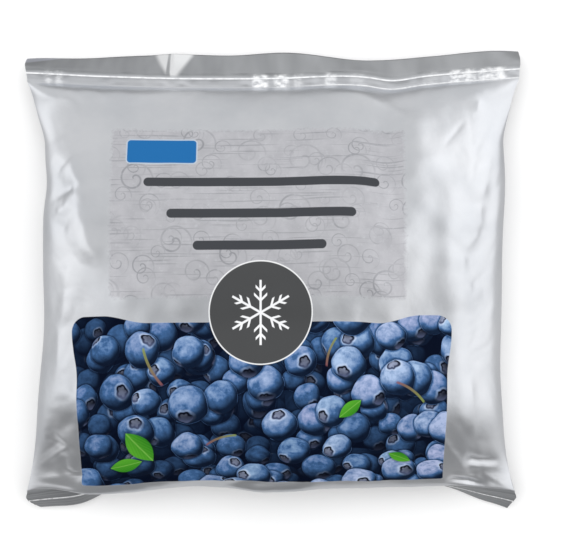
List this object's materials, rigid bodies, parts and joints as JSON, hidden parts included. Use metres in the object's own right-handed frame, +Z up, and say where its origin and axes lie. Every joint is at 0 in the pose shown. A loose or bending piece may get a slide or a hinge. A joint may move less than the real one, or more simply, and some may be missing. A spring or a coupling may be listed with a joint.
{
  "type": "frozen fruit bag",
  "caption": "Filled pillow bag of frozen berries in metallised film, crimped shut across both ends, lying face up.",
  "frame": {"origin": "middle of the bag's footprint, on the surface it lies on", "axes": "+X across the bag to the right as its face is read, +Y towards the top seal, +Z up out of the printed face"},
  "size_m": [0.2, 0.185, 0.0449],
  "materials": {
    "metallised_film": "satin metallised film with a printed face"
  },
  "bodies": {
    "root": {"bag": "metallised_film"}
  },
  "joints": []
}
